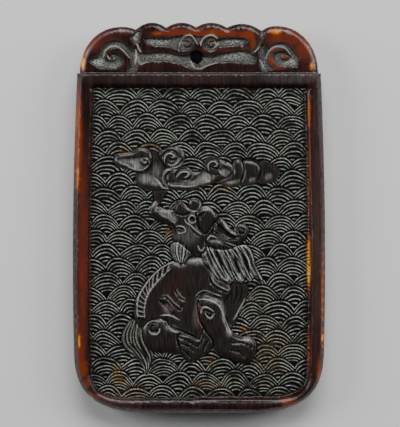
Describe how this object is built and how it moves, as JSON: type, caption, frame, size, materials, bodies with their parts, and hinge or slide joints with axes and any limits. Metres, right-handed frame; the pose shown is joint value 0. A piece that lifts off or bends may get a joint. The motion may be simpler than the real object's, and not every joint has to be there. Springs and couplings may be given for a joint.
{
  "type": "horn plaque",
  "caption": "Carved horn pendant plaque: lobed crest with a cord hole above a sunken field where a seated beast looks up at a cloud over wave scales.",
  "frame": {"origin": "middle of the flat back, on the surface the plaque lies on", "axes": "+Z out of the carved face, +Y up the plaque to its crest, +X across it to the viewer's right"},
  "size_m": [0.0454, 0.0702, 0.0065],
  "materials": {
    "horn": "dark brown polished horn, amber along thin edges"
  },
  "bodies": {
    "root": {"plaque": "horn"}
  },
  "joints": []
}
